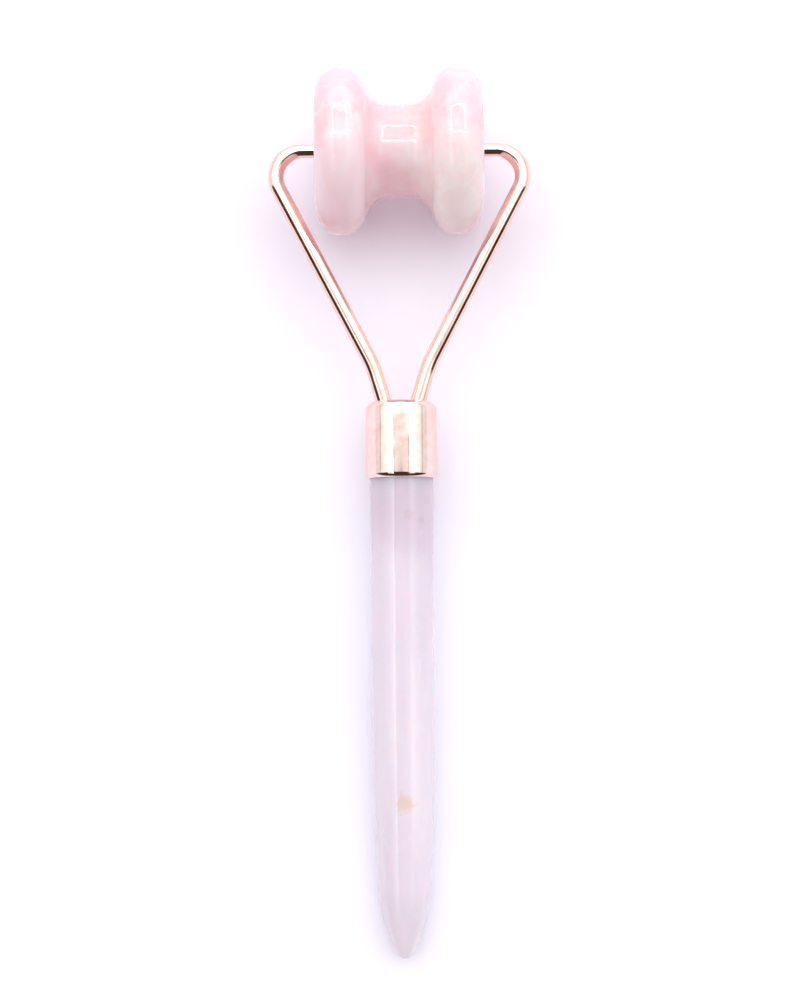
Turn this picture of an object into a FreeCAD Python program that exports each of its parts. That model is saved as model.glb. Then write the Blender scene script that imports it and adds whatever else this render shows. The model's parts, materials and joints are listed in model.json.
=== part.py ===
"""Face roller of rose quartz with a rose gold plated brass fork.

A spool of stone turns on the two ends of a wire fork. The fork's legs are brazed into a
plug under the closed top of a ferrule, and the ferrule is glued over the end of a stone
handle. The roller lies on a flat surface: it rests on the spool and on the handle near its
tip. Millimetres, +Z up, +Y from the handle towards the spool, the axle along X. The origin
is the middle of the roller's box, on the surface that it lies on.

Each piece is drawn flat, about the middle of the axle, with its handle along -Y, and its
Placement then tips it down onto the surface.
"""
import FreeCAD, Part
import math
import os
import Sketcher

os.makedirs("parts", exist_ok=True)
doc = FreeCAD.newDocument("face_roller")

# ---------------------------------------------------------------- driving dimensions

SIZES = [
    ("spool_diameter", "33.5", "over the two crowns"),
    ("spool_width", "33.3", "over the two end faces"),
    ("throat_diameter", "18.4", "at the middle of the spool"),
    ("crown_radius", "5.1", "round edge of each lobe"),
    ("throat_flat", "3.8", "straight stretch at the middle of the throat"),
    ("bush_diameter", "5", "outside of the nylon sleeves, and the drilled bore"),
    ("bush_length", "8", "from the end face inwards"),
    ("bush_end_wall", "0.8", "closes the inner end of each sleeve"),
    ("flange_diameter", "7", "head of each sleeve, sunk flush"),
    ("flange_thickness", "0.6", "head of each sleeve"),
    ("bush_lead_in", "0.3", "chamfer at the mouth of each sleeve"),
    ("journal_diameter", "2.7", "turned end of each wire"),
    ("journal_reach", "7", "how far the end goes into the spool"),
    ("journal_chamfer", "0.3", "at the tip of each journal"),
    ("running_clearance", "0.05", "all round the journal"),
    ("shoulder_gap", "0.4", "end face to the start of the taper"),
    ("side_gap", "2.7", "end face to the start of the bend"),
    ("wire_diameter", "3.1", "both arms of the fork"),
    ("bend_radius", "5.2", "upper bend, to the middle of the wire"),
    ("elbow_height", "7.6", "along the leg, from the ferrule's top to the elbow's corner"),
    ("elbow_radius", "25", "lower bend, to the middle of the wire"),
    ("leg_angle", "16.5", "degrees, each leg to the handle's axis"),
    ("leg_depth", "5.2", "along the leg, from the ferrule's top to its end"),
    ("leg_web", "0.8", "metal left between the two legs at their ends"),
    ("fork_length", "50.3", "axle to the top of the ferrule"),
    ("ferrule_length", "15.2", "top to rim"),
    ("ferrule_wall", "0.9", "turned brass"),
    ("ferrule_top", "1", "closed end"),
    ("ferrule_shoulder", "1.7", "radius round the closed end"),
    ("rim_radius", "1.2", "curve where the rim turns in"),
    ("rim_edge", "0.45", "flat that is left at the very rim"),
    ("leg_hole_clearance", "0.05", "all round each leg in the closed end"),
    ("plug_height", "6", "brass plug that the legs are brazed into"),
    ("glue_gap", "0.1", "epoxy round the handle's spigot"),
    ("glue_bed", "0.3", "epoxy under the plug"),
    ("glue_setback", "0.6", "rim to where the epoxy stops"),
    ("handle_diameter", "12.6", "straight part of the rod"),
    ("spigot_step", "0.3", "how much is ground off all round where the ferrule goes on"),
    ("spigot_chamfer", "0.4", "at the glued end"),
    ("straight_length", "40", "handle, from the rim to where it starts to taper"),
    ("taper_length", "40", "slight taper after that"),
    ("taper_radius", "800", "very gentle curve along the taper"),
    ("nose_length", "14", "from the taper to the tip"),
    ("tip_radius", "2", "rounded tip"),
]

sheet = doc.addObject("Spreadsheet::Sheet", "Sizes")
for row, (alias, value, note) in enumerate(SIZES, start=1):
    sheet.set(f"A{row}", alias)
    sheet.set(f"B{row}", value)
    sheet.set(f"C{row}", note)
    sheet.setAlias(f"B{row}", alias)
doc.recompute()

# ---------------------------------------------------------------- sizes that follow from them

WORKED = [
    # spool: the fillet that leaves the throat's flat and runs into the crown, and where it does
    ("crown_out", "Sizes.spool_width / 2 - Sizes.crown_radius"),
    ("crown_up", "Sizes.spool_diameter / 2 - Sizes.crown_radius"),
    ("flat_half", "Sizes.throat_flat / 2"),
    ("lobe_out", "crown_out - flat_half"),
    ("lobe_up", "crown_up - Sizes.throat_diameter / 2"),
    ("fillet_top", "lobe_out ^ 2 + lobe_up ^ 2 - Sizes.crown_radius ^ 2"),
    ("throat_fillet", "fillet_top / (2 * (lobe_up + Sizes.crown_radius))"),
    ("fillet_up", "Sizes.throat_diameter / 2 + throat_fillet"),
    ("blend_part", "throat_fillet / (Sizes.crown_radius + throat_fillet)"),
    ("blend_out", "flat_half + blend_part * lobe_out"),
    ("blend_up", "fillet_up + blend_part * (crown_up - fillet_up)"),
    # bush and journal
    ("bush_bore", "Sizes.journal_diameter / 2 + Sizes.running_clearance"),
    ("sleeve_end", "Sizes.spool_width / 2 - Sizes.bush_length"),
    ("journal_end", "Sizes.spool_width / 2 - Sizes.journal_reach"),
    # fork: the legs first, then the straight arm that runs from the elbow's corner to the upper
    # bend, which it meets as a tangent
    ("wire_half", "Sizes.wire_diameter / 2"),
    ("bend_start", "Sizes.spool_width / 2 + Sizes.side_gap"),
    ("leg_end_out", "Sizes.leg_web / 2 + wire_half * cos(Sizes.leg_angle)"),
    ("leg_top_out", "leg_end_out + Sizes.leg_depth * sin(Sizes.leg_angle)"),
    ("elbow_out", "leg_top_out + Sizes.elbow_height * sin(Sizes.leg_angle)"),
    ("elbow_down", "Sizes.fork_length - Sizes.elbow_height * cos(Sizes.leg_angle)"),
    ("bend_out", "bend_start - elbow_out"),
    ("bend_above", "elbow_down - Sizes.bend_radius"),
    ("bend_reach", "sqrt(bend_out ^ 2 + bend_above ^ 2)"),
    ("arm_angle", "atan(bend_out / bend_above) + asin(Sizes.bend_radius / bend_reach)"),
    ("arm_top_out", "bend_start + Sizes.bend_radius * cos(arm_angle)"),
    ("arm_top_down", "Sizes.bend_radius * (1 + sin(arm_angle))"),
    ("elbow_tangent", "Sizes.elbow_radius * tan((arm_angle - Sizes.leg_angle * 1 deg) / 2)"),
    # ferrule, and what it holds
    ("handle_half", "Sizes.handle_diameter / 2"),
    ("spigot_half", "handle_half - Sizes.spigot_step"),
    ("ferrule_bore", "spigot_half + Sizes.glue_gap"),
    ("ferrule_outside", "ferrule_bore + Sizes.ferrule_wall"),
    ("rim_down", "Sizes.fork_length + Sizes.ferrule_length"),
    ("rim_turn_in", "Sizes.ferrule_wall - Sizes.rim_edge"),
    ("rim_curve", "sqrt(Sizes.rim_radius ^ 2 - (Sizes.rim_radius - rim_turn_in) ^ 2)"),
    ("plug_top", "Sizes.fork_length + Sizes.ferrule_top"),
    ("plug_bottom", "plug_top + Sizes.plug_height"),
    ("leg_hole", "wire_half + Sizes.leg_hole_clearance"),
    # handle: straight, then the gentle taper, then the nose, an arc that runs on from it
    ("handle_top", "plug_bottom + Sizes.glue_bed"),
    ("taper_down", "rim_down + Sizes.straight_length"),
    ("nose_down", "taper_down + Sizes.taper_length"),
    ("taper_angle", "asin(Sizes.taper_length / Sizes.taper_radius)"),
    ("nose_half", "handle_half - Sizes.taper_radius * (1 - cos(taper_angle))"),
    ("ball_down", "nose_down + Sizes.nose_length - Sizes.tip_radius"),
    ("ball_run", "Sizes.nose_length - Sizes.tip_radius"),
    ("nose_give", "nose_half * cos(taper_angle) - ball_run * sin(taper_angle) - Sizes.tip_radius"),
    ("nose_radius", "(ball_run ^ 2 + nose_half ^ 2 - Sizes.tip_radius ^ 2) / (2 * nose_give)"),
    ("nose_centre_down", "nose_down - nose_radius * sin(taper_angle)"),
    ("nose_centre_in", "nose_radius * cos(taper_angle) - nose_half"),
    ("ball_part", "Sizes.tip_radius / (nose_radius - Sizes.tip_radius)"),
    ("ball_join_half", "ball_part * nose_centre_in"),
    ("ball_join_down", "ball_down + ball_part * (ball_down - nose_centre_down)"),
    ("tip_down", "ball_down + Sizes.tip_radius"),
    # how it lies: tipped until the nose touches the surface that the spool stands on
    ("axle_height", "Sizes.spool_diameter / 2"),
    ("lean_reach", "sqrt(nose_centre_down ^ 2 + nose_centre_in ^ 2)"),
    ("lean_back", "atan(nose_centre_in / nose_centre_down)"),
    ("tilt", "asin((axle_height - nose_radius) / lean_reach) + lean_back"),
    ("tip_back", "ball_down * cos(tilt) + Sizes.tip_radius"),
    ("axle_forward", "(tip_back - axle_height) / 2"),
]

worked = doc.addObject("Spreadsheet::Sheet", "Worked")
for row, (alias, formula) in enumerate(WORKED, start=1):
    worked.set(f"A{row}", alias)
    worked.set(f"B{row}", "=" + formula)
    worked.setAlias(f"B{row}", alias)
    doc.recompute()


# ---------------------------------------------------------------- sketches and bodies

def stand(piece):
    """Tip a piece about the axle onto the surface, and lift it there."""
    piece.Placement = FreeCAD.Placement(FreeCAD.Vector(), FreeCAD.Rotation(FreeCAD.Vector(1, 0, 0), 1))
    piece.setExpression("Placement.Base.y", "Worked.axle_forward")
    piece.setExpression("Placement.Base.z", "Worked.axle_height")
    piece.setExpression("Placement.Rotation.Angle", "Worked.tilt")


def new_body(label):
    """An empty body, in its place on the surface."""
    body = doc.addObject("PartDesign::Body", label)
    body.Label = label
    stand(body)
    return body


def new_sketch(body, name, role="XY_Plane"):
    """An empty sketch on one of the body's own planes."""
    sketch = body.newObject("Sketcher::SketchObject", name)
    plane = [feature for feature in body.Origin.OriginFeatures if feature.Role == role][0]
    sketch.AttachmentSupport = [(plane, "")]
    sketch.MapMode = "FlatFace"
    return sketch


def arc_between(start, end, radius, turn):
    """The short arc from start to end, anticlockwise where turn is 1 and clockwise where it is -1."""
    chord = end - start
    half = chord.Length / 2
    rise = math.sqrt(max(radius * radius - half * half, 0))
    side = FreeCAD.Vector(-chord.y, chord.x, 0).normalize() * turn
    centre = (start + end) / 2 + side * rise
    first, last = (start, end) if turn > 0 else (end, start)
    first_angle = math.atan2(first.y - centre.y, first.x - centre.x)
    last_angle = math.atan2(last.y - centre.y, last.x - centre.x)
    if last_angle < first_angle:
        last_angle += 2 * math.pi
    circle = Part.Circle(centre, FreeCAD.Vector(0, 0, 1), radius)
    return Part.ArcOfCircle(circle, first_angle, last_angle)


def draw(sketch, corners, closed=True):
    """Join the corners in turn, and tie each one to the sheets.

    A corner is its two coordinates as formulas. Where the edge that leaves it is an arc, the
    arc's radius and its turn, 1 or -1, come after them.
    """
    points = [FreeCAD.Vector(float(sketch.evalExpression(corner[0])),
                             float(sketch.evalExpression(corner[1])), 0) for corner in corners]
    edges = len(corners) if closed else len(corners) - 1
    ends = []
    for index in range(edges):
        start = points[index]
        end = points[(index + 1) % len(points)]
        if len(corners[index]) == 4:
            radius, turn = corners[index][2:]
            size = float(sketch.evalExpression(radius))
            edge = sketch.addGeometry(arc_between(start, end, size, turn))
            bound = sketch.addConstraint(Sketcher.Constraint("Radius", edge, size))
            sketch.setExpression(f"Constraints[{bound}]", radius)
            ends.append((edge, 1, 2) if turn > 0 else (edge, 2, 1))
        else:
            edge = sketch.addGeometry(Part.LineSegment(start, end))
            ends.append((edge, 1, 2))
    joins = edges if closed else edges - 1
    for index in range(joins):
        here, after = ends[index], ends[(index + 1) % edges]
        sketch.addConstraint(Sketcher.Constraint("Coincident", here[0], here[2], after[0], after[1]))
    for index, corner in enumerate(corners):
        edge, vertex = (ends[index][0], ends[index][1]) if index < edges else (ends[-1][0], ends[-1][2])
        for kind, formula, value in (("DistanceX", corner[0], points[index].x),
                                     ("DistanceY", corner[1], points[index].y)):
            bound = sketch.addConstraint(Sketcher.Constraint(kind, -1, 1, edge, vertex, value))
            sketch.setExpression(f"Constraints[{bound}]", formula)
    return points


def turn_about(body, name, corners, axis):
    """A solid of revolution: V_Axis is the handle's axis and H_Axis the axle."""
    sketch = new_sketch(body, name + "_outline")
    draw(sketch, corners)
    solid = body.newObject("PartDesign::Revolution", name)
    solid.Profile = sketch
    solid.ReferenceAxis = (sketch, [axis])
    solid.Angle = 360
    doc.recompute()
    return solid


def along_leg(depth, offset, side="+"):
    """A point beside the leg's middle line, by its depth under the ferrule's top and its offset."""
    across = (f"{side}(Worked.leg_top_out - ({depth}) * sin(Sizes.leg_angle)"
              f" + ({offset}) * cos(Sizes.leg_angle))")
    down = (f"-(Sizes.fork_length + ({depth}) * cos(Sizes.leg_angle)"
            f" + ({offset}) * sin(Sizes.leg_angle))")
    return across, down


def bore_for_legs(body, radius, depth):
    """Bore both leg holes: one turned about the leg's middle line, and its mirror image."""
    above = "-Sizes.ferrule_shoulder"
    sketch = new_sketch(body, "leg_hole_outline")
    points = draw(sketch, [along_leg(above, "0"), along_leg(depth, "0"),
                           along_leg(depth, radius), along_leg(above, radius)])
    middle = sketch.addGeometry(Part.LineSegment(points[0], points[1]), True)
    sketch.addConstraint(Sketcher.Constraint("Coincident", middle, 1, 0, 1))
    sketch.addConstraint(Sketcher.Constraint("Coincident", middle, 2, 0, 2))
    before = body.Shape.Volume
    hole = body.newObject("PartDesign::Groove", "leg_hole")
    hole.Profile = sketch
    hole.ReferenceAxis = (sketch, ["Axis0"])
    hole.Angle = 360
    doc.recompute()
    one_hole = before - body.Shape.Volume
    pair = body.newObject("PartDesign::Mirrored", "both_leg_holes")
    pair.Originals = [hole]
    pair.MirrorPlane = ([f for f in body.Origin.OriginFeatures if f.Role == "YZ_Plane"][0], [""])
    body.Tip = pair
    doc.recompute()
    both_holes = before - body.Shape.Volume
    if one_hole <= 0 or abs(both_holes - 2 * one_hole) > 0.01 * one_hole:
        raise ValueError(f"{body.Label}: the leg holes did not cut, {one_hole} and {both_holes}")


# ---------------------------------------------------------------- the turning spool

def spool():
    """Stone spool: two round lobes and a throat, drilled through, with a seat for each flange."""
    body = new_body("roller_stone")
    end = "Sizes.spool_width / 2"
    seat = "Sizes.spool_width / 2 - Sizes.flange_thickness"
    bore = "Sizes.bush_diameter / 2"
    flange = "Sizes.flange_diameter / 2"
    throat = "Sizes.throat_diameter / 2"
    turn_about(body, "spool", [
        (end, flange),
        (end, "Worked.crown_up", "Sizes.crown_radius", 1),
        ("Worked.blend_out", "Worked.blend_up", "Worked.throat_fillet", -1),
        ("Worked.flat_half", throat),
        ("-Worked.flat_half", throat, "Worked.throat_fillet", -1),
        ("-Worked.blend_out", "Worked.blend_up", "Sizes.crown_radius", 1),
        (f"-{end}", "Worked.crown_up"),
        (f"-{end}", flange),
        (f"-({seat})", flange),
        (f"-({seat})", bore),
        (seat, bore),
        (seat, flange),
    ], "H_Axis")
    return body


def bush(label, side):
    """Nylon sleeve with a closed inner end and a flat head, glued into the spool flush with its end."""
    body = new_body(label)
    end = "Sizes.spool_width / 2"
    turn_about(body, "sleeve", [
        (f"{side}Worked.sleeve_end", "0"),
        (f"{side}Worked.sleeve_end", "Sizes.bush_diameter / 2"),
        (f"{side}({end} - Sizes.flange_thickness)", "Sizes.bush_diameter / 2"),
        (f"{side}({end} - Sizes.flange_thickness)", "Sizes.flange_diameter / 2"),
        (f"{side}({end})", "Sizes.flange_diameter / 2"),
        (f"{side}({end})", "Worked.bush_bore + Sizes.bush_lead_in"),
        (f"{side}({end} - Sizes.bush_lead_in)", "Worked.bush_bore"),
        (f"{side}(Worked.sleeve_end + Sizes.bush_end_wall)", "Worked.bush_bore"),
        (f"{side}(Worked.sleeve_end + Sizes.bush_end_wall)", "0"),
    ], "H_Axis")
    return body


# ---------------------------------------------------------------- the fork

def arm(label, side):
    """One wire: a turned journal, a short taper, the upper bend, the arm, the elbow and the leg."""
    body = new_body(label)
    turn = 1 if side == "-" else -1
    journal = "Sizes.journal_diameter / 2"
    turn_about(body, "journal", [
        (f"{side}Worked.journal_end", "0"),
        (f"{side}Worked.journal_end", f"{journal} - Sizes.journal_chamfer"),
        (f"{side}(Worked.journal_end + Sizes.journal_chamfer)", journal),
        (f"{side}(Sizes.spool_width / 2 + Sizes.shoulder_gap)", journal),
        (f"{side}Worked.bend_start", "Worked.wire_half"),
        (f"{side}Worked.bend_start", "0"),
    ], "H_Axis")
    elbow_top = ("(Worked.elbow_out + Worked.elbow_tangent * sin(Worked.arm_angle))",
                 "-(Worked.elbow_down - Worked.elbow_tangent * cos(Worked.arm_angle))")
    elbow_bottom = ("(Worked.elbow_out - Worked.elbow_tangent * sin(Sizes.leg_angle))",
                    "-(Worked.elbow_down + Worked.elbow_tangent * cos(Sizes.leg_angle))")
    path = new_sketch(body, "wire_path")
    draw(path, [
        (f"{side}Worked.bend_start", "0", "Sizes.bend_radius", turn),
        (f"{side}Worked.arm_top_out", "-Worked.arm_top_down"),
        (side + elbow_top[0], elbow_top[1], "Sizes.elbow_radius", -turn),
        (side + elbow_bottom[0], elbow_bottom[1]),
        along_leg("Sizes.leg_depth", "0", side),
    ], closed=False)
    section = new_sketch(body, "wire_section", "YZ_Plane")
    section.setExpression("AttachmentOffset.Base.z", f"{side}Worked.bend_start")
    circle = section.addGeometry(Part.Circle(FreeCAD.Vector(), FreeCAD.Vector(0, 0, 1), 1))
    section.addConstraint(Sketcher.Constraint("Coincident", circle, 3, -1, 1))
    bound = section.addConstraint(Sketcher.Constraint("Radius", circle, 1.0))
    section.setExpression(f"Constraints[{bound}]", "Worked.wire_half")
    doc.recompute()
    turned = body.Shape.Volume
    wire = body.newObject("PartDesign::AdditivePipe", "wire")
    wire.Profile = section
    wire.Spine = path
    doc.recompute()
    swept = math.pi * worked.wire_half ** 2 * path.Shape.Length
    if abs(body.Shape.Volume - turned - swept) > 0.01 * swept:
        raise ValueError(f"{label}: the wire's volume is {body.Shape.Volume - turned}, not {swept}")
    return body


# ---------------------------------------------------------------- the ferrule and the handle

def ferrule():
    """Turned brass cap: a closed, rounded top with two leg holes, and a rim that curves in a little."""
    body = new_body("ferrule")
    turn_about(body, "cap", [
        ("0", "-Sizes.fork_length"),
        ("Worked.ferrule_outside - Sizes.ferrule_shoulder", "-Sizes.fork_length",
         "Sizes.ferrule_shoulder", -1),
        ("Worked.ferrule_outside", "-(Sizes.fork_length + Sizes.ferrule_shoulder)"),
        ("Worked.ferrule_outside", "-(Worked.rim_down - Worked.rim_curve)", "Sizes.rim_radius", -1),
        ("Worked.ferrule_outside - Worked.rim_turn_in", "-Worked.rim_down"),
        ("Worked.ferrule_bore", "-Worked.rim_down"),
        ("Worked.ferrule_bore", "-Worked.plug_top"),
        ("0", "-Worked.plug_top"),
    ], "V_Axis")
    bore_for_legs(body, "Worked.leg_hole", "Sizes.leg_depth")
    return body


def plug():
    """Brass plug, pressed up under the ferrule's top, with a blind bore for each leg."""
    body = new_body("arm_anchor_plug")
    turn_about(body, "disc", [
        ("0", "-Worked.plug_top"),
        ("Worked.ferrule_bore", "-Worked.plug_top"),
        ("Worked.ferrule_bore", "-Worked.plug_bottom"),
        ("0", "-Worked.plug_bottom"),
    ], "V_Axis")
    bore_for_legs(body, "Worked.wire_half", "Sizes.leg_depth")
    return body


def handle():
    """Stone rod, ground round: a spigot for the ferrule, straight, slightly tapered, a bullet nose."""
    body = new_body("handle_stone")
    turn_about(body, "rod", [
        ("0", "-Worked.handle_top"),
        ("Worked.spigot_half - Sizes.spigot_chamfer", "-Worked.handle_top"),
        ("Worked.spigot_half", "-(Worked.handle_top + Sizes.spigot_chamfer)"),
        ("Worked.spigot_half", "-Worked.rim_down"),
        ("Worked.handle_half", "-Worked.rim_down"),
        ("Worked.handle_half", "-Worked.taper_down", "Sizes.taper_radius", -1),
        ("Worked.nose_half", "-Worked.nose_down", "Worked.nose_radius", -1),
        ("Worked.ball_join_half", "-Worked.ball_join_down", "Sizes.tip_radius", -1),
        ("0", "-Worked.tip_down"),
    ], "V_Axis")
    return body


def epoxy():
    """Epoxy that holds the handle: a bed under the plug and a thin sleeve round the spigot."""
    body = new_body("handle_epoxy")
    lowest = "-(Worked.rim_down - Sizes.glue_setback)"
    turn_about(body, "glue", [
        ("0", "-Worked.plug_bottom"),
        ("Worked.ferrule_bore", "-Worked.plug_bottom"),
        ("Worked.ferrule_bore", lowest),
        ("Worked.spigot_half", lowest),
        ("Worked.spigot_half", "-(Worked.handle_top + Sizes.spigot_chamfer)"),
        ("Worked.spigot_half - Sizes.spigot_chamfer", "-Worked.handle_top"),
        ("0", "-Worked.handle_top"),
    ], "V_Axis")
    return body


pieces = [
    spool(),
    bush("left_bush", "-"),
    bush("right_bush", "+"),
    arm("left_arm", "-"),
    arm("right_arm", "+"),
    ferrule(),
    plug(),
    handle(),
    epoxy(),
]

# ---------------------------------------------------------------- checks and export

doc.recompute()
for thing in doc.Objects:
    if "Invalid" in thing.State or "Error" in thing.State:
        raise ValueError(f"{thing.Label} did not recompute: {thing.State}")
for piece in pieces:
    if piece.Shape.isNull() or not piece.Shape.isValid() or len(piece.Shape.Solids) != 1:
        raise ValueError(f"{piece.Label} is not one valid solid")
for piece in pieces:
    piece.Shape.exportStep(f"parts/{piece.Label}.step")
    print(f"{piece.Label}: {piece.Shape.Volume:.1f} cubic mm")

print("tilt, axle forward, axle height:", worked.tilt, worked.axle_forward, worked.axle_height)
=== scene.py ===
"""Face roller of rose quartz: a spool that turns in a rose gold plated wire fork, on a stone handle."""

import json
import math

import bpy
from mathutils import Matrix, Vector


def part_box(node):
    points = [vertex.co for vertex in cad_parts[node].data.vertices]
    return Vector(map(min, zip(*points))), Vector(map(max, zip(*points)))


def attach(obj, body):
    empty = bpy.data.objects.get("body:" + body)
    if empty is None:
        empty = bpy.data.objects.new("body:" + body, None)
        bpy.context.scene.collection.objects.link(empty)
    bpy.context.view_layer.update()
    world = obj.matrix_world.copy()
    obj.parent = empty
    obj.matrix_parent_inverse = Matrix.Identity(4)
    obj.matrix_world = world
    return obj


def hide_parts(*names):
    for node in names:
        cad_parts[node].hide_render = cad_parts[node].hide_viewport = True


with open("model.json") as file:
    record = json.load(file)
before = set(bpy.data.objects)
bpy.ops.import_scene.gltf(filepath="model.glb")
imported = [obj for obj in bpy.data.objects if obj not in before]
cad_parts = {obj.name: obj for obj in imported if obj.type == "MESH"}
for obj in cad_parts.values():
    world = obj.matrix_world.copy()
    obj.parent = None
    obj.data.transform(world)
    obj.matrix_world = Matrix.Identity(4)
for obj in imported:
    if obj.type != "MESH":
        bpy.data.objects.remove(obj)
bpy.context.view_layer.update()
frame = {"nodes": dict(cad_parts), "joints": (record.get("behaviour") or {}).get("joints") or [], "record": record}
bpy.ops.object.select_all(action="DESELECT")


# ---------------------------------------------------------------- the spool
# A block of rose quartz, ground on a profiled wheel into two round lobes and a throat, drilled
# through and polished. It turns on the two wire ends, in sleeves that sit flush in its end faces.

MM = 0.001
SHARP_EDGE = math.radians(35)
SAME_PLACE = 0.000001
SPOOL_HALF = (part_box("roller_stone")[1].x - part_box("roller_stone")[0].x) / 2
SPOOL_RADIUS = (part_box("roller_stone")[1].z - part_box("roller_stone")[0].z) / 2
CROWN = 5.1 * MM
THROAT_RADIUS = 9.2 * MM
THROAT_FLAT_HALF = 1.9 * MM
SPOOL_BORE = 2.5 * MM
FLANGE_SEAT = 3.5 * MM
FLANGE_DEPTH = 0.6 * MM
END_FACE_RINGS = (6.5 * MM, 9.2 * MM)
AXLE = Vector(frame["joints"][0]["pos_m"])
SHANK = [mount for mount in frame["record"]["mounts"] if mount["name"] == "handle_shank"][0]
TILT = math.atan2(-SHANK["axis"][2], -SHANK["axis"][1])


def arc(middle_along, middle_up, radius, start, end, steps):
    """Points along an arc of an outline, from one angle to the other, in degrees."""
    points = []
    for step in range(steps + 1):
        angle = math.radians(start + (end - start) * step / steps)
        points.append((middle_along + radius * math.cos(angle), middle_up + radius * math.sin(angle)))
    return points


def pick(piece):
    """Select one piece alone and make it the active one."""
    bpy.ops.object.select_all(action="DESELECT")
    piece.select_set(True)
    bpy.context.view_layer.objects.active = piece


def finish_mesh():
    """Merge what meets, close the open ends, turn the faces outwards and smooth the round parts."""
    bpy.ops.mesh.select_all(action="SELECT")
    bpy.ops.mesh.remove_doubles(threshold=SAME_PLACE)
    bpy.ops.mesh.fill_holes(sides=0)
    bpy.ops.mesh.normals_make_consistent(inside=False)
    bpy.ops.object.mode_set(mode="OBJECT")
    bpy.ops.object.shade_smooth_by_angle(angle=SHARP_EDGE)


def turned_piece(name, outline, axis, sides):
    """Turn a piece ring by ring along X or Y: each point is a place along the axis and a radius."""
    unit = Vector((1, 0, 0)) if axis == "X" else Vector((0, 1, 0))
    facing = (0, math.pi / 2, 0) if axis == "X" else (math.pi / 2, 0, 0)
    place, radius = outline[0]
    bpy.ops.mesh.primitive_circle_add(vertices=sides, radius=radius, location=unit * place,
                                      rotation=facing)
    piece = bpy.context.object
    piece.name = name
    bpy.ops.object.transform_apply(location=True, rotation=True, scale=True)
    bpy.ops.object.mode_set(mode="EDIT")
    bpy.ops.mesh.select_all(action="SELECT")
    for next_place, next_radius in outline[1:]:
        step = unit * (next_place - place)
        grow = next_radius / radius
        size = (1, grow, grow) if axis == "X" else (grow, 1, grow)
        bpy.ops.mesh.extrude_region_move(TRANSFORM_OT_translate={"value": step})
        bpy.ops.transform.resize(value=size, center_override=unit * next_place)
        place, radius = next_place, next_radius
    finish_mesh()
    return piece


def lay_in_place(piece):
    """Tip a piece about the axle as it lies on the table, and leave its object at the origin."""
    pick(piece)
    piece.rotation_euler = (TILT, 0, 0)
    piece.location = AXLE
    bpy.ops.object.transform_apply(location=True, rotation=True, scale=True)
    piece.select_set(False)


crown_along = SPOOL_HALF - CROWN
crown_up = SPOOL_RADIUS - CROWN
lobe_along = crown_along - THROAT_FLAT_HALF
lobe_up = crown_up - THROAT_RADIUS
fillet = (lobe_along ** 2 + lobe_up ** 2 - CROWN ** 2) / (2 * (lobe_up + CROWN))
fillet_up = THROAT_RADIUS + fillet
meeting = math.degrees(math.atan2(fillet_up - crown_up, lobe_along))
half_outline = [(SPOOL_HALF, FLANGE_SEAT)]
half_outline += [(SPOOL_HALF, ring) for ring in END_FACE_RINGS]
half_outline += arc(crown_along, crown_up, CROWN, 0, 180 - meeting, 30)
half_outline += arc(THROAT_FLAT_HALF, fillet_up, fillet, -meeting, -90, 16)[1:]
other_half = [(-along, up) for along, up in reversed(half_outline)]
seats = [(FLANGE_DEPTH - SPOOL_HALF, FLANGE_SEAT), (FLANGE_DEPTH - SPOOL_HALF, SPOOL_BORE)]
seats += [(SPOOL_HALF - FLANGE_DEPTH, SPOOL_BORE), (SPOOL_HALF - FLANGE_DEPTH, FLANGE_SEAT)]
spool_outline = half_outline + other_half + seats + half_outline[:1]
spool = turned_piece("rose_quartz_spool", spool_outline, "X", 144)
lay_in_place(spool)


def add_node(tree, kind, values=None, **settings):
    """A shader node with its settings, and with the values of its input sockets by name or number."""
    made = tree.nodes.new("ShaderNode" + kind)
    for name, value in settings.items():
        setattr(made, name, value)
    for socket, value in (values or {}).items():
        made.inputs[socket].default_value = value
    return made


def new_group(name, inputs, outputs):
    """An empty shader node group, with its named sockets, its input node and its output node."""
    group = bpy.data.node_groups.new(name, "ShaderNodeTree")
    for label, kind, value in inputs:
        socket = group.interface.new_socket(label, in_out="INPUT", socket_type="NodeSocket" + kind)
        socket.default_value = value
    for label, kind in outputs:
        group.interface.new_socket(label, in_out="OUTPUT", socket_type="NodeSocket" + kind)
    return group, group.nodes.new("NodeGroupInput"), group.nodes.new("NodeGroupOutput")


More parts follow.
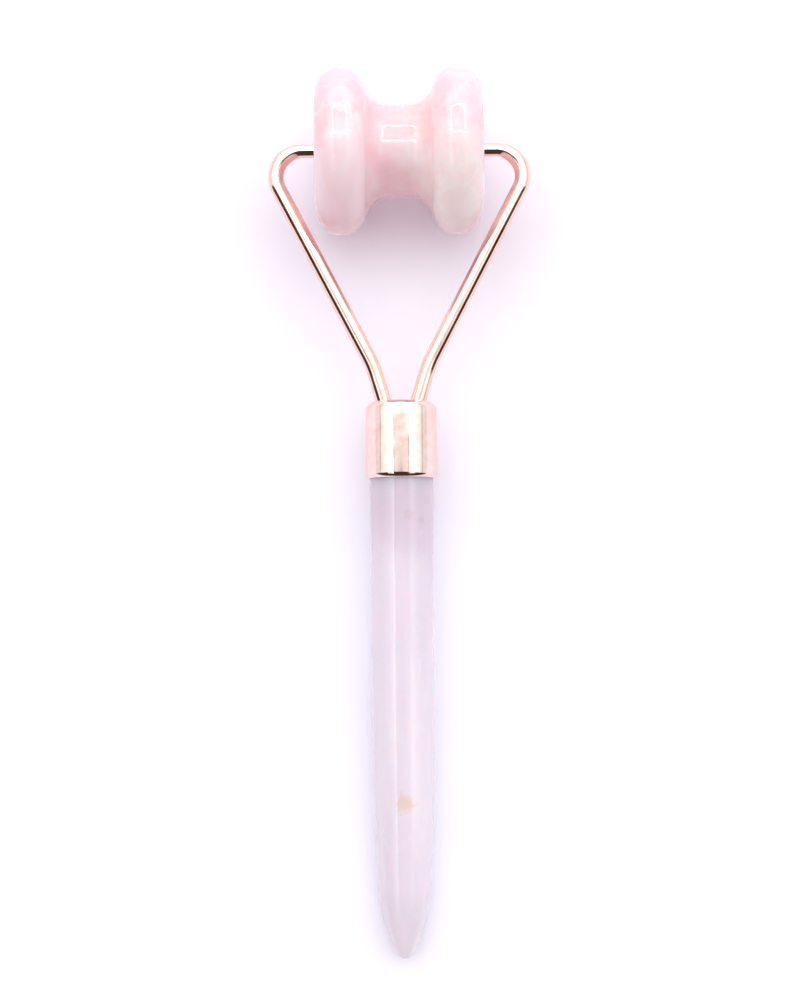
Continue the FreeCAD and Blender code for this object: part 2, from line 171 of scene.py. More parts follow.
def quartz_figure():
    """Node group: milky clouds, broken healed cracks and tiny bright crystals, deep in the stone."""
    sockets = [("Vector", "Vector", (0, 0, 0)), ("Cloud Scale", "Float", 90)]
    sockets += [("Vein Scale", "Float", 120), ("Vein Width", "Float", 0.05)]
    sockets += [("Stretch", "Vector", (1, 1, 1))]
    results = [("Cloud", "Float"), ("Vein", "Float"), ("Crystals", "Float"), ("Height", "Float")]
    group, given, made = new_group("quartz_figure", sockets, results)
    link = group.links.new
    stretched = add_node(group, "VectorMath", operation="MULTIPLY")
    link(given.outputs["Vector"], stretched.inputs[0])
    link(given.outputs["Stretch"], stretched.inputs[1])
    bends = add_node(group, "TexNoise", {"Scale": 140, "Detail": 3, "Roughness": 0.55})
    link(stretched.outputs[0], bends.inputs["Vector"])
    centred = add_node(group, "VectorMath", {1: (0.5, 0.5, 0.5)}, operation="SUBTRACT")
    link(bends.outputs["Color"], centred.inputs[0])
    softened = add_node(group, "VectorMath", {"Scale": 0.009}, operation="SCALE")
    link(centred.outputs[0], softened.inputs[0])
    warped = add_node(group, "VectorMath", operation="ADD")
    link(stretched.outputs[0], warped.inputs[0])
    link(softened.outputs[0], warped.inputs[1])
    cloud = add_node(group, "TexNoise", {"Detail": 5, "Roughness": 0.52})
    link(warped.outputs[0], cloud.inputs["Vector"])
    link(given.outputs["Cloud Scale"], cloud.inputs["Scale"])
    banks = add_node(group, "MapRange", {"From Min": 0.38, "From Max": 0.66},
                     interpolation_type="SMOOTHSTEP")
    link(cloud.outputs["Fac"], banks.inputs["Value"])
    cracks = add_node(group, "TexVoronoi", feature="DISTANCE_TO_EDGE")
    link(warped.outputs[0], cracks.inputs["Vector"])
    link(given.outputs["Vein Scale"], cracks.inputs["Scale"])
    thin = add_node(group, "MapRange", {"To Min": 1, "To Max": 0}, interpolation_type="SMOOTHSTEP")
    link(cracks.outputs["Distance"], thin.inputs["Value"])
    link(given.outputs["Vein Width"], thin.inputs["From Max"])
    breaks = add_node(group, "TexNoise", {"Scale": 75, "Detail": 2})
    link(given.outputs["Vector"], breaks.inputs["Vector"])
    broken = add_node(group, "MapRange", {"From Min": 0.45, "From Max": 0.68})
    link(breaks.outputs["Fac"], broken.inputs["Value"])
    healed = add_node(group, "Math", operation="MULTIPLY")
    link(thin.outputs[0], healed.inputs[0])
    link(broken.outputs[0], healed.inputs[1])
    specks = add_node(group, "TexVoronoi", {"Scale": 900, "Randomness": 1}, feature="F1")
    link(given.outputs["Vector"], specks.inputs["Vector"])
    bright = add_node(group, "MapRange", {"From Min": 0.06, "From Max": 0.22, "To Min": 1, "To Max": 0})
    link(specks.outputs["Distance"], bright.inputs["Value"])
    waves = add_node(group, "TexNoise", {"Scale": 150, "Detail": 1, "Roughness": 0.4})
    link(given.outputs["Vector"], waves.inputs["Vector"])
    link(banks.outputs[0], made.inputs["Cloud"])
    link(healed.outputs[0], made.inputs["Vein"])
    link(bright.outputs[0], made.inputs["Crystals"])
    link(waves.outputs["Fac"], made.inputs["Height"])
    return group


def patch_mask():
    """Node group: a soft ragged patch of another tint, about one place in the stone."""
    sockets = [("Vector", "Vector", (0, 0, 0)), ("Middle", "Vector", (0, 0, 0))]
    sockets += [("Radius", "Float", 0.005), ("Raggedness", "Float", 0.5), ("Ragged Scale", "Float", 400)]
    group, given, made = new_group("patch_mask", sockets, [("Mask", "Float")])
    link = group.links.new
    apart = add_node(group, "VectorMath", operation="DISTANCE")
    link(given.outputs["Vector"], apart.inputs[0])
    link(given.outputs["Middle"], apart.inputs[1])
    share = add_node(group, "Math", operation="DIVIDE")
    link(apart.outputs["Value"], share.inputs[0])
    link(given.outputs["Radius"], share.inputs[1])
    ragged = add_node(group, "TexNoise", {"Detail": 4, "Roughness": 0.6})
    link(given.outputs["Vector"], ragged.inputs["Vector"])
    link(given.outputs["Ragged Scale"], ragged.inputs["Scale"])
    level = add_node(group, "Math", {1: 0.5}, operation="SUBTRACT")
    link(ragged.outputs["Fac"], level.inputs[0])
    pushed = add_node(group, "Math", operation="MULTIPLY_ADD")
    link(level.outputs[0], pushed.inputs[0])
    link(given.outputs["Raggedness"], pushed.inputs[1])
    link(share.outputs[0], pushed.inputs[2])
    edge = add_node(group, "MapRange", {"From Min": 0.35, "From Max": 1.0, "To Min": 1, "To Max": 0},
                    interpolation_type="SMOOTHSTEP")
    link(pushed.outputs[0], edge.inputs["Value"])
    link(edge.outputs[0], made.inputs["Mask"])
    return group


QUARTZ_FIGURE = quartz_figure()
PATCH_MASK = patch_mask()


def group_node(tree, group, vector, values):
    """A shader node group placed in a material, with its own values."""
    made = tree.nodes.new("ShaderNodeGroup")
    made.node_tree = group
    for socket, value in values.items():
        made.inputs[socket].default_value = value
    tree.links.new(vector, made.inputs["Vector"])
    return made


def tint_over(tree, under, mask, colour, strength):
    """Mix a tint over a colour where the mask is, up to the strength."""
    amount = add_node(tree, "Math", {1: strength}, operation="MULTIPLY")
    tree.links.new(mask, amount.inputs[0])
    mixed = add_node(tree, "Mix", data_type="RGBA")
    mixed.inputs["B"].default_value = (*colour, 1)
    tree.links.new(amount.outputs[0], mixed.inputs[0])
    tree.links.new(under, mixed.inputs["A"])
    return mixed.outputs["Result"]


def rose_quartz(name, deep, milky, values, healed, patches, polish):
    """Polished translucent quartz: two body tints in clouds, white cracks, and tinted patches: stains, painted
    light and painted shade.
    """
    material = bpy.data.materials.new(name)
    material.use_nodes = True
    tree = material.node_tree
    shader = tree.nodes["Principled BSDF"]
    coordinates = add_node(tree, "TexCoord").outputs["Object"]
    figure = group_node(tree, QUARTZ_FIGURE, coordinates, values)
    body = add_node(tree, "Mix", data_type="RGBA")
    body.inputs["A"].default_value = (*deep, 1)
    body.inputs["B"].default_value = (*milky, 1)
    tree.links.new(figure.outputs["Cloud"], body.inputs[0])
    colour = body.outputs["Result"]
    for middle, radius, ragged, ragged_scale, tint, strength in patches:
        patch = group_node(tree, PATCH_MASK, coordinates, {
            "Middle": middle, "Radius": radius, "Raggedness": ragged, "Ragged Scale": ragged_scale})
        colour = tint_over(tree, colour, patch.outputs["Mask"], tint, strength)
    colour = tint_over(tree, colour, figure.outputs["Vein"], (0.98, 0.92, 0.93), healed)
    colour = tint_over(tree, colour, figure.outputs["Crystals"], (0.98, 0.95, 0.95), 0.12)
    tree.links.new(colour, shader.inputs["Base Color"])
    gloss = add_node(tree, "MapRange", {"To Min": polish[0], "To Max": polish[1]})
    tree.links.new(figure.outputs["Cloud"], gloss.inputs["Value"])
    tree.links.new(gloss.outputs[0], shader.inputs["Roughness"])
    uneven = add_node(tree, "Bump", {"Strength": 0.2, "Distance": 0.00006})
    tree.links.new(figure.outputs["Height"], uneven.inputs["Height"])
    tree.links.new(uneven.outputs["Normal"], shader.inputs["Normal"])
    shader.inputs["IOR"].default_value = 1.54
    shader.inputs["Subsurface Weight"].default_value = 0.9
    shader.inputs["Subsurface Scale"].default_value = 0.011
    shader.inputs["Subsurface Radius"].default_value = (1.0, 0.55, 0.6)
    return material


def on_spool(side, turn, out):
    """A place in the spool: across in mm, the turn from straight up towards +Y in degrees, mm out."""
    angle = math.radians(turn)
    return AXLE + Vector((side, out * math.sin(angle), out * math.cos(angle))) * MM


# The first and the last patch, low on the lobes on the side that faces the viewer, are painted light: paler tints
# that brighten where the lamps leave the stone darker.
SPOOL_TINT_AND_PAINTED_LIGHT = [
    (on_spool(12, -50, 13), 15 * MM, 0.9, 180, (0.93, 0.87, 0.83), 0.65),
    (on_spool(5, 30, 9), 8 * MM, 0.9, 220, (0.92, 0.64, 0.60), 0.5),
    (on_spool(-12, -50, 14), 12 * MM, 0.9, 200, (0.98, 0.75, 0.80), 0.7),
]
spool_stone = rose_quartz("rose_quartz_spool", (0.93, 0.60, 0.65), (0.94, 0.73, 0.77),
                          {"Cloud Scale": 85, "Vein Scale": 130, "Vein Width": 0.12}, 0.35,
                          SPOOL_TINT_AND_PAINTED_LIGHT, (0.015, 0.035))
spool.data.materials.append(spool_stone)
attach(spool, "roller")
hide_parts("roller_stone")


# ---------------------------------------------------------------- the sleeves
# Two moulded nylon sleeves with flat heads, glued into the ends of the spool, so that the wire
# turns in plastic and not in the stone. Milky, with the fine grain of the mould.


def fine_grain():
    """Node group: a fine moulded, turned or cast grain, with broader patches of dullness."""
    sockets = [("Vector", "Vector", (0, 0, 0)), ("Grain Scale", "Float", 3000)]
    sockets += [("Patch Scale", "Float", 300), ("Stretch", "Vector", (1, 1, 1))]
    group, given, made = new_group("fine_grain", sockets, [("Grain", "Float"), ("Patches", "Float")])
    link = group.links.new
    stretched = add_node(group, "VectorMath", operation="MULTIPLY")
    link(given.outputs["Vector"], stretched.inputs[0])
    link(given.outputs["Stretch"], stretched.inputs[1])
    grain = add_node(group, "TexNoise", {"Detail": 3, "Roughness": 0.6})
    link(stretched.outputs[0], grain.inputs["Vector"])
    link(given.outputs["Grain Scale"], grain.inputs["Scale"])
    patches = add_node(group, "TexNoise", {"Detail": 4, "Roughness": 0.55})
    link(given.outputs["Vector"], patches.inputs["Vector"])
    link(given.outputs["Patch Scale"], patches.inputs["Scale"])
    spread = add_node(group, "MapRange", {"From Min": 0.35, "From Max": 0.68},
                      interpolation_type="SMOOTHSTEP")
    link(patches.outputs["Fac"], spread.inputs["Value"])
    link(grain.outputs["Fac"], made.inputs["Grain"])
    link(spread.outputs[0], made.inputs["Patches"])
    return group


FINE_GRAIN = fine_grain()


def grained(name, dark, light, values, dullness, bump, bump_depth):
    """A material of two close tints, its roughness and a fine bump from the grain."""
    material = bpy.data.materials.new(name)
    material.use_nodes = True
    tree = material.node_tree
    shader = tree.nodes["Principled BSDF"]
    coordinates = add_node(tree, "TexCoord").outputs["Object"]
    grain = group_node(tree, FINE_GRAIN, coordinates, values)
    body = add_node(tree, "Mix", data_type="RGBA")
    body.inputs["A"].default_value = (*dark, 1)
    body.inputs["B"].default_value = (*light, 1)
    tree.links.new(grain.outputs["Patches"], body.inputs[0])
    tree.links.new(body.outputs["Result"], shader.inputs["Base Color"])
    dull = add_node(tree, "MapRange", {"To Min": dullness[0], "To Max": dullness[1]})
    tree.links.new(grain.outputs["Patches"], dull.inputs["Value"])
    tree.links.new(dull.outputs[0], shader.inputs["Roughness"])
    rough = add_node(tree, "Bump", {"Strength": bump, "Distance": bump_depth})
    tree.links.new(grain.outputs["Grain"], rough.inputs["Height"])
    tree.links.new(rough.outputs["Normal"], shader.inputs["Normal"])
    return material


def set_input(material, name, value):
    """Set one value of a material's shader."""
    material.node_tree.nodes["Principled BSDF"].inputs[name].default_value = value


nylon = grained("nylon", (0.82, 0.80, 0.76), (0.90, 0.89, 0.86),
                {"Grain Scale": 4000, "Patch Scale": 500}, (0.38, 0.5), 0.3, 0.00001)
set_input(nylon, "Subsurface Weight", 0.3)
set_input(nylon, "Subsurface Scale", 0.001)


def dress(name, material):
    """Give a node of the frame its material, and keep its shape."""
    piece = frame["nodes"][name]
    piece.data.materials.clear()
    piece.data.materials.append(material)


dress("left_bush", nylon)
dress("right_bush", nylon)


# ---------------------------------------------------------------- the arms of the fork
# Two lengths of brass wire, each turned down at one end for the sleeve, bent round a former at
# the top, bent a little above the ferrule, and plated rose gold after polishing.

JOURNAL_RADIUS = 1.3 * MM
WIRE_RADIUS = 1.55 * MM
JOURNAL_CHAMFER = 0.3 * MM
JOURNAL_DEPTH = 7 * MM
JOURNAL_END = SPOOL_HALF - JOURNAL_DEPTH
PAST_END_FACE = 0.4 * MM
RUN_TO_BEND = 2.3 * MM
BEND_CLEAR = 2.7 * MM
BEND_START = SPOOL_HALF + BEND_CLEAR
BEND = 5.2 * MM
GROWN_AT = math.radians(50)
ELBOW = 25 * MM
ELBOW_HEIGHT = 7.6 * MM
LEG_ANGLE = math.radians(16.5)
LEG_DEPTH = 5.2 * MM
LEG_FROM_AXIS = 0.4 * MM
FORK_LENGTH = 50.3 * MM
BEND_RINGS = 30
ARM_RINGS = 12
ELBOW_RINGS = 10

leg_top_out = LEG_FROM_AXIS + WIRE_RADIUS * math.cos(LEG_ANGLE) + LEG_DEPTH * math.sin(LEG_ANGLE)
elbow_out = leg_top_out + ELBOW_HEIGHT * math.sin(LEG_ANGLE)
elbow_down = FORK_LENGTH - ELBOW_HEIGHT * math.cos(LEG_ANGLE)
bend_out = BEND_START - elbow_out
bend_above = elbow_down - BEND
arm_angle = math.atan2(bend_out, bend_above) + math.asin(BEND / math.hypot(bend_out, bend_above))
elbow_tangent = ELBOW * math.tan((arm_angle - LEG_ANGLE) / 2)
arm_top = Vector((BEND_START + BEND * math.cos(arm_angle), -BEND * (1 + math.sin(arm_angle)), 0))
arm_way = Vector((-math.sin(arm_angle), -math.cos(arm_angle), 0))
leg_way = Vector((-math.sin(LEG_ANGLE), -math.cos(LEG_ANGLE), 0))
elbow_corner = Vector((elbow_out, -elbow_down, 0))
arm_bottom = elbow_corner - arm_way * elbow_tangent
leg_top = elbow_corner + leg_way * elbow_tangent
leg_end = Vector((leg_top_out, -FORK_LENGTH, 0)) + leg_way * LEG_DEPTH
elbow_side = Vector((math.cos(arm_angle), -math.sin(arm_angle), 0))
elbow_middle = arm_bottom + elbow_side * ELBOW


def extrude_by(step):
    """Extrude what is selected along a step."""
    bpy.ops.mesh.extrude_region_move(TRANSFORM_OT_translate={"value": step})


def resize_about(middle, factor):
    """Resize what is selected about a place, evenly."""
    bpy.ops.transform.resize(value=(factor, factor, factor), center_override=middle)


def wire_arm():
    """The right arm: its turned end, the upper bend where it grows to full size, the arm and the leg."""
    bpy.ops.mesh.primitive_circle_add(vertices=40, radius=JOURNAL_RADIUS - JOURNAL_CHAMFER,
                                      location=(JOURNAL_END, 0, 0), rotation=(0, math.pi / 2, 0))
    arm = bpy.context.object
    arm.name = "right_fork_arm"
    bpy.ops.object.transform_apply(location=True, rotation=True, scale=True)
    bpy.ops.object.mode_set(mode="EDIT")
    bpy.ops.mesh.select_all(action="SELECT")
    place = Vector((JOURNAL_END, 0, 0))
    for along, radius_before, radius_after in (
            (JOURNAL_CHAMFER, JOURNAL_RADIUS - JOURNAL_CHAMFER, JOURNAL_RADIUS),
            (SPOOL_HALF + PAST_END_FACE - JOURNAL_END - JOURNAL_CHAMFER, JOURNAL_RADIUS, JOURNAL_RADIUS),
            (RUN_TO_BEND, JOURNAL_RADIUS, JOURNAL_RADIUS)):
        place = place + Vector((along, 0, 0))
        extrude_by((along, 0, 0))
        resize_about(place, radius_after / radius_before)
    bend_middle = Vector((BEND_START, -BEND, 0))
    turned = math.pi / 2 + arm_angle
    radius = JOURNAL_RADIUS
    for step in range(1, BEND_RINGS + 1):
        bpy.ops.mesh.spin(steps=1, angle=turned / BEND_RINGS, center=bend_middle, axis=(0, 0, 1))
        angle = turned * step / BEND_RINGS
        place = bend_middle + BEND * Vector((math.sin(angle), math.cos(angle), 0))
        share = min(1, angle / GROWN_AT)
        grown = JOURNAL_RADIUS + (WIRE_RADIUS - JOURNAL_RADIUS) * share * share * (3 - 2 * share)
        resize_about(place, grown / radius)
        radius = grown
    for _ in range(ARM_RINGS):
        extrude_by((arm_bottom - arm_top) / ARM_RINGS)
    bpy.ops.mesh.spin(steps=ELBOW_RINGS, angle=LEG_ANGLE - arm_angle, center=elbow_middle, axis=(0, 0, 1))
    extrude_by(leg_end - leg_top)
    finish_mesh()
    return arm


def mirrored_copy(piece, name):
    """A left hand copy with its own mesh, its faces turned to point outwards again."""
    copy = piece.copy()
    copy.data = piece.data.copy()
    copy.name = name
    bpy.context.scene.collection.objects.link(copy)
    pick(copy)
    copy.scale.x = -1
    bpy.ops.object.transform_apply(location=True, rotation=True, scale=True)
    bpy.ops.object.mode_set(mode="EDIT")
    bpy.ops.mesh.select_all(action="SELECT")
    bpy.ops.mesh.normals_make_consistent(inside=False)
    bpy.ops.object.mode_set(mode="OBJECT")
    return copy


right_arm = wire_arm()
left_arm = mirrored_copy(right_arm, "left_fork_arm")
lay_in_place(right_arm)
lay_in_place(left_arm)


def rose_gold(name, deep, pale, values, dullness, bump):
    """Bright rose gold plate over polished brass: slightly mottled, and duller in broad patches."""
    material = grained(name, deep, pale, values, dullness, bump, 0.00001)
    set_input(material, "Metallic", 1)
    set_input(material, "Specular Tint", (1, 0.86, 0.84, 1))
    return material


wire_gold = rose_gold("rose_gold_wire", (0.93, 0.62, 0.53), (0.97, 0.70, 0.61),
                      {"Grain Scale": 900, "Patch Scale": 260}, (0.06, 0.13), 0.25)
for arm, node in ((right_arm, "right_arm"), (left_arm, "left_arm")):
    arm.data.materials.append(wire_gold)
    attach(arm, "grip")
    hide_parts(node)


# ---------------------------------------------------------------- the ferrule
# A cap turned from brass bar and plated rose gold: a rounded shoulder, two drilled holes for the
# legs in its closed top, and a rim that is rolled in a little against the stone.

FERRULE_RADIUS = 7 * MM
FERRULE_BORE = 6.1 * MM
FERRULE_SHOULDER = 1.7 * MM
FERRULE_TOP = 1 * MM
CAP_RINGS = (1.5 * MM, 3.5 * MM)
FERRULE_LENGTH = 15.2 * MM
RIM_DOWN = FORK_LENGTH + FERRULE_LENGTH
RIM_CURVE = 1.2 * MM
RIM_EDGE = 0.45 * MM
LEG_HOLE = 1.6 * MM
DRILL_LENGTH = 6 * MM

rim_turn = math.degrees(math.acos(1 - (FERRULE_RADIUS - FERRULE_BORE - RIM_EDGE) / RIM_CURVE))
rim_start = -RIM_DOWN + RIM_CURVE * math.sin(math.radians(rim_turn))
ferrule_outline = [(-FORK_LENGTH, ring) for ring in CAP_RINGS]
ferrule_outline += arc(-FORK_LENGTH - FERRULE_SHOULDER, FERRULE_RADIUS - FERRULE_SHOULDER,
                       FERRULE_SHOULDER, 0, 90, 14)
ferrule_outline += arc(rim_start, FERRULE_RADIUS - RIM_CURVE, RIM_CURVE, 90, 90 + rim_turn, 8)
ferrule_outline += [(-RIM_DOWN, FERRULE_BORE), (-FORK_LENGTH - FERRULE_TOP, FERRULE_BORE)]
ferrule_outline += [(-FORK_LENGTH - FERRULE_TOP, CAP_RINGS[0])]
ferrule = turned_piece("ferrule_cap", ferrule_outline, "Y", 160)
for side in (1, -1):
    drill_middle = Vector((leg_top_out, -FORK_LENGTH, 0)) + leg_way * 0.5 * MM
    drill_middle.x *= side
    bpy.ops.mesh.primitive_cylinder_add(vertices=64, radius=LEG_HOLE, depth=DRILL_LENGTH,
                                        location=drill_middle,
                                        rotation=(math.pi / 2, 0, -side * LEG_ANGLE))
    drill = bpy.context.object
    bore = ferrule.modifiers.new("leg_hole", "BOOLEAN")
    bore.object = drill
    bore.operation = "DIFFERENCE"
    bore.solver = "EXACT"
    pick(ferrule)
    bpy.ops.object.modifier_apply(modifier="leg_hole")
    bpy.data.objects.remove(drill)
lay_in_place(ferrule)
ferrule_gold = rose_gold("rose_gold_ferrule", (0.94, 0.68, 0.61), (0.98, 0.78, 0.72),
                         {"Grain Scale": 1500, "Patch Scale": 420}, (0.07, 0.16), 0.25)
ferrule.data.materials.append(ferrule_gold)
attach(ferrule, "grip")
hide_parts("ferrule")


# ---------------------------------------------------------------- the plug
# A disc of plain brass pressed up under the ferrule's top. The legs are brazed into it, and it
# doesn't show once the handle is glued in.

raw_brass = grained("raw_brass", (0.72, 0.52, 0.24), (0.83, 0.64, 0.34),
                    {"Grain Scale": 2500, "Patch Scale": 350}, (0.28, 0.45), 0.4, 0.00002)
set_input(raw_brass, "Metallic", 1)
dress("arm_anchor_plug", raw_brass)


# ---------------------------------------------------------------- the handle
# A rod of paler rose quartz, ground round by hand and polished: straight, then a slight taper and
# a bullet nose. Its top is a spigot that is glued into the ferrule, with the shoulder at the rim.

HANDLE_RADIUS = SHANK["dims"]["r_mm"] * MM
SPIGOT_STEP = 0.3 * MM
SPIGOT_RADIUS = HANDLE_RADIUS - SPIGOT_STEP
SPIGOT_CHAMFER = 0.4 * MM
EDGE_BREAK = 0.1 * MM
HANDLE_SUNK = 7.3 * MM
HANDLE_TOP = FORK_LENGTH + HANDLE_SUNK
STRAIGHT = 40 * MM
TAPER = 40 * MM
TAPER_CURVE = 800 * MM
NOSE = 14 * MM
TIP_RADIUS = 2 * MM
STRAIGHT_RINGS = 40
GROUND_FROM = 0.3 * MM
GROUND_FADE = 6 * MM
UNEVEN_SPREAD = 14 * MM
UNEVENNESS = 0.12 * MM

taper_start = -RIM_DOWN - STRAIGHT
taper_angle = math.asin(TAPER / TAPER_CURVE)
nose_half = HANDLE_RADIUS - TAPER_CURVE * (1 - math.cos(taper_angle))
ball_run = NOSE - TIP_RADIUS
nose_give = nose_half * math.cos(taper_angle) - ball_run * math.sin(taper_angle) - TIP_RADIUS
nose_radius = (ball_run ** 2 + nose_half ** 2 - TIP_RADIUS ** 2) / (2 * nose_give)
nose_along = taper_start - TAPER + nose_radius * math.sin(taper_angle)
nose_up = nose_half - nose_radius * math.cos(taper_angle)
ball_along = taper_start - TAPER - ball_run
ball_turn = math.degrees(math.atan2(nose_along - ball_along, -nose_up))
outline = [(-HANDLE_TOP, SPIGOT_RADIUS - SPIGOT_CHAMFER), (-HANDLE_TOP - SPIGOT_CHAMFER, SPIGOT_RADIUS)]
outline += [(-RIM_DOWN, SPIGOT_RADIUS), (-RIM_DOWN, HANDLE_RADIUS - EDGE_BREAK)]
outline += [(-RIM_DOWN - EDGE_BREAK, HANDLE_RADIUS)]
outline += [(-RIM_DOWN - STRAIGHT * part / STRAIGHT_RINGS, HANDLE_RADIUS)
            for part in range(1, STRAIGHT_RINGS)]
outline += arc(taper_start, HANDLE_RADIUS - TAPER_CURVE, TAPER_CURVE,
               90, 90 + math.degrees(taper_angle), 30)
outline += arc(nose_along, nose_up, nose_radius, 90 + math.degrees(taper_angle), 90 + ball_turn, 24)[1:]
outline += arc(ball_along, 0, TIP_RADIUS, 90 + ball_turn, 178, 10)[1:]
handle = turned_piece("rose_quartz_handle", outline, "Y", 96)
exposed = handle.vertex_groups.new(name="ground")
for vertex in handle.data.vertices:
    below = -vertex.co.y - RIM_DOWN
    if below > GROUND_FROM:
        exposed.add([vertex.index], min(1, below / GROUND_FADE), "REPLACE")
hand_ground = bpy.data.textures.new("hand_ground", "CLOUDS")
hand_ground.noise_scale = UNEVEN_SPREAD
hand_ground.noise_depth = 1
uneven = handle.modifiers.new("hand_ground", "DISPLACE")
uneven.texture = hand_ground
uneven.texture_coords = "LOCAL"
uneven.mid_level = 1
uneven.strength = UNEVENNESS
uneven.vertex_group = "ground"
bpy.ops.object.modifier_apply(modifier="hand_ground")
handle.vertex_groups.clear()
lay_in_place(handle)


def on_handle(side, down, up):
    """A place in the handle: mm across, mm below the rim along its axis, and mm up from the axis."""
    along = -RIM_DOWN / MM - down
    flat = Vector((side, along * math.cos(TILT) - up * math.sin(TILT),
                   along * math.sin(TILT) + up * math.cos(TILT)))
    return AXLE + flat * MM


# The first three patches are brown stains in the stone. The last, a broad darker lavender patch at the rim, is
# painted shade: it darkens the top of the handle under the ferrule.
HANDLE_STAINS_AND_PAINTED_SHADE = [
    (on_handle(0.2, 63.4, 5.8), 2.4 * MM, 2.2, 700, (0.74, 0.58, 0.46), 0.6),
    (on_handle(1.4, 7.4, 6.0), 1.3 * MM, 2.4, 1300, (0.64, 0.44, 0.36), 0.6),
    (on_handle(3.9, 8.6, 5.0), 1.1 * MM, 2.4, 1300, (0.64, 0.44, 0.36), 0.55),
    (on_handle(0, 0, 2), 22 * MM, 0.5, 120, (0.62, 0.52, 0.62), 0.75),
]
handle_stone = rose_quartz("rose_quartz_handle", (0.74, 0.69, 0.77), (0.78, 0.74, 0.81),
                           {"Cloud Scale": 60, "Vein Scale": 80, "Vein Width": 0.03,
                            "Stretch": (1.0, 0.35, 1.0)}, 0.12, HANDLE_STAINS_AND_PAINTED_SHADE, (0.015, 0.03))
handle.data.materials.append(handle_stone)
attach(handle, "grip")
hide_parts("handle_stone")


# ---------------------------------------------------------------- the glue
# Clear two part epoxy that holds the handle in the ferrule. It is slightly yellow, and all of it
# is hidden under the rim.

glue = grained("epoxy", (0.80, 0.74, 0.55), (0.86, 0.81, 0.64),
               {"Grain Scale": 1200, "Patch Scale": 300}, (0.12, 0.25), 0.2, 0.00002)
dress("handle_epoxy", glue)


# ---------------------------------------------------------------- the table and the light
# A pale sheet in a light tent. A ring lamp, a diffuser, two side panels and a strip show only in
# reflections, and a key, a fill above and a faintly pink fill in front light only matt surfaces.
# The room is white, in brighter and darker bands, and dark on the side where the viewer stands.

bpy.ops.mesh.primitive_plane_add(size=6, location=(0, 0, 0))
table = bpy.context.object
table.name = "table"
paper = grained("table_paper", (0.89, 0.87, 0.97), (0.91, 0.89, 0.98),
                {"Grain Scale": 900, "Patch Scale": 20}, (0.7, 0.8), 0.1, 0.00002)
set_input(paper, "Emission Color", (0.97, 0.95, 1.0, 1))
set_input(paper, "Emission Strength", 0.05)
table.data.materials.append(paper)


def area_light(name, place, towards, width, height, brightness):
    """A rectangular lamp that faces a point. Its brightness is the same however large it is."""
    lamp = bpy.data.lights.new(name, "AREA")
    lamp.shape = "RECTANGLE"
    lamp.size = width
    lamp.size_y = height
    lamp.energy = brightness * math.pi * width * height
    holder = bpy.data.objects.new(name, lamp)
    bpy.context.scene.collection.objects.link(holder)
    holder.location = place
    holder.rotation_mode = "QUATERNION"
    holder.rotation_quaternion = (Vector(towards) - Vector(place)).to_track_quat("-Z", "Y")
    return holder


def ring_lamp(middle, facing, half_width, half_height, strip, brightness):
    """Four thin strips in a rectangle: two across, and two that lean back with it."""
    ahead = (Vector(facing) - Vector(middle)).normalized()
    across = Vector((1, 0, 0))
    upwards = across.cross(ahead)
    for sign in (1, -1):
        place = Vector(middle) + upwards * half_height * sign
        lamp = area_light("ring_lamp_across", place, place + ahead, 2 * half_width, strip, brightness)
        lamp.visible_diffuse = False
        place = Vector(middle) + across * half_width * sign
        lamp = area_light("ring_lamp_upright", place, place + ahead, strip, 2 * half_height, brightness)
        lamp.visible_diffuse = False


ring_lamp((0, 0.333, 0.50), (0, 0.071, 0.017), 0.29, 0.195, 0.024, 16)
diffuser = area_light("diffuser", (0, 0.445, 0.50), (0, -0.085, 0), 1.2, 1.065, 1.0)
diffuser.visible_diffuse = False
key = area_light("key", (0, 0.53, 0.50), (0, 0, 0), 1.2, 1.065, 0.2)
key.visible_glossy = False
for side in (1, -1):
    panel = area_light("side_panel", (0.42 * side, 0, 0.58), (0, 0, 0), 0.9, 0.25, 0.9)
    panel.visible_diffuse = False
strip = area_light("strip_left", (-0.35, -0.05, 0.61), (0, -0.03, 0), 0.6, 0.03, 4)
strip.visible_diffuse = False
fill = area_light("fill_above", (0, 0.1, 1.2), (0, 0, 0), 1.6, 1.6, 1.0)
fill.visible_glossy = False
front = area_light("fill_front", (0, -0.7, 0.45), (0, 0.05, 0.01), 0.8, 0.5, 0.9)
front.data.color = (1, 0.80, 0.80)
front.visible_glossy = False

world = bpy.data.worlds.new("white_room")
bpy.context.scene.world = world
world.use_nodes = True
sky = world.node_tree
toward = add_node(sky, "SeparateXYZ")
sky.links.new(add_node(sky, "TexCoord").outputs["Generated"], toward.inputs[0])
sideways = add_node(sky, "Math", operation="ABSOLUTE")
sky.links.new(toward.outputs["X"], sideways.inputs[0])
lean = add_node(sky, "Math", operation="ARCTAN2")
sky.links.new(sideways.outputs[0], lean.inputs[0])
sky.links.new(toward.outputs["Z"], lean.inputs[1])
share = add_node(sky, "Math", {1: math.pi / 2}, operation="DIVIDE")
sky.links.new(lean.outputs[0], share.inputs[0])
panels = add_node(sky, "ValToRGB")
stops = [(0.0, 1.0), (0.24, 1.05), (0.262, 0.6), (0.285, 0.6), (0.31, 1.3), (0.62, 1.35), (0.76, 1.1),
         (0.78, 0.6), (0.81, 0.6), (0.83, 0.95), (1.0, 0.9)]
panels.color_ramp.elements[1].position = stops[-1][0]
panels.color_ramp.elements[1].color = (stops[-1][1], stops[-1][1], stops[-1][1], 1)
panels.color_ramp.elements[0].color = (stops[0][1], stops[0][1], stops[0][1], 1)
for place, brightness in stops[1:-1]:
    stop = panels.color_ramp.elements.new(place)
    stop.color = (brightness, brightness, brightness, 1)
sky.links.new(share.outputs[0], panels.inputs[0])
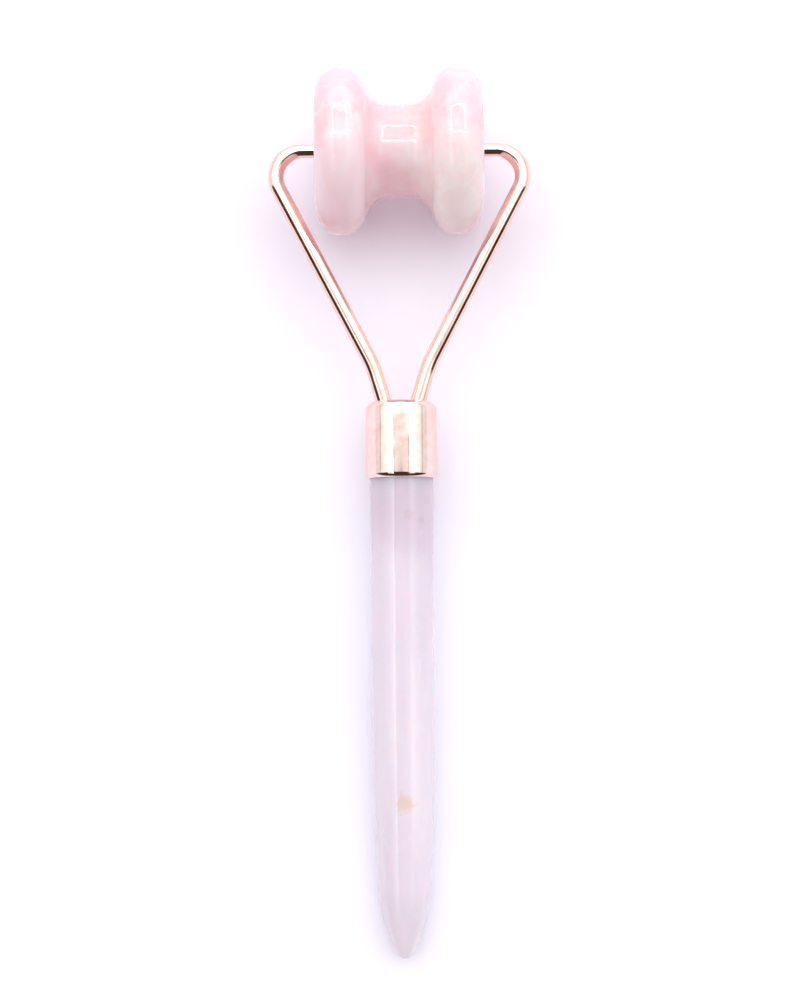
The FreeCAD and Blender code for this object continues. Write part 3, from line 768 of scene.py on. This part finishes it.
lopsided = add_node(sky, "Math", {1: 0.05}, operation="MULTIPLY")
sky.links.new(toward.outputs["X"], lopsided.inputs[0])
spread = add_node(sky, "Math", {1: 0.16}, operation="MULTIPLY_ADD")
sky.links.new(sideways.outputs[0], spread.inputs[0])
sky.links.new(lopsided.outputs[0], spread.inputs[2])
beside = add_node(sky, "Math", operation="ADD")
sky.links.new(spread.outputs[0], beside.inputs[0])
sky.links.new(toward.outputs["Y"], beside.inputs[1])
above = add_node(sky, "Math", {1: 0.06}, operation="MULTIPLY")
sky.links.new(toward.outputs["Z"], above.inputs[0])
edge_of_dark = add_node(sky, "Math", operation="ADD")
sky.links.new(beside.outputs[0], edge_of_dark.inputs[0])
sky.links.new(above.outputs[0], edge_of_dark.inputs[1])
dark_side = add_node(sky, "MapRange", {"From Min": 0.02, "From Max": -0.04})
sky.links.new(edge_of_dark.outputs[0], dark_side.inputs["Value"])
level = add_node(sky, "Mix", data_type="RGBA")
level.inputs["B"].default_value = (0.05, 0.045, 0.04, 1)
sky.links.new(dark_side.outputs[0], level.inputs[0])
sky.links.new(panels.outputs["Color"], level.inputs["A"])
sky.links.new(level.outputs["Result"], sky.nodes["Background"].inputs["Color"])
sky.nodes["Background"].inputs["Strength"].default_value = 1


# ---------------------------------------------------------------- the camera
# From above and a little from the handle's side, half a metre away.

camera = bpy.data.cameras.new("camera")
camera.lens = 90.9
camera.sensor_width = 36
viewer = bpy.data.objects.new("camera", camera)
bpy.context.scene.collection.objects.link(viewer)
LOOK_DOWN = math.radians(82)
ROLL = math.radians(-0.45)
DISTANCE = 0.5
AIM = Vector((0.00035, 0.0018, 0.010))
ahead = Vector((0, math.cos(LOOK_DOWN), -math.sin(LOOK_DOWN)))
viewer.location = AIM - DISTANCE * ahead
viewer.rotation_euler = (Matrix.Rotation(math.pi / 2 - LOOK_DOWN, 3, "X")
                         @ Matrix.Rotation(ROLL, 3, "Z")).to_euler()
bpy.context.scene.camera = viewer
bpy.context.scene.view_settings.view_transform = "Standard"
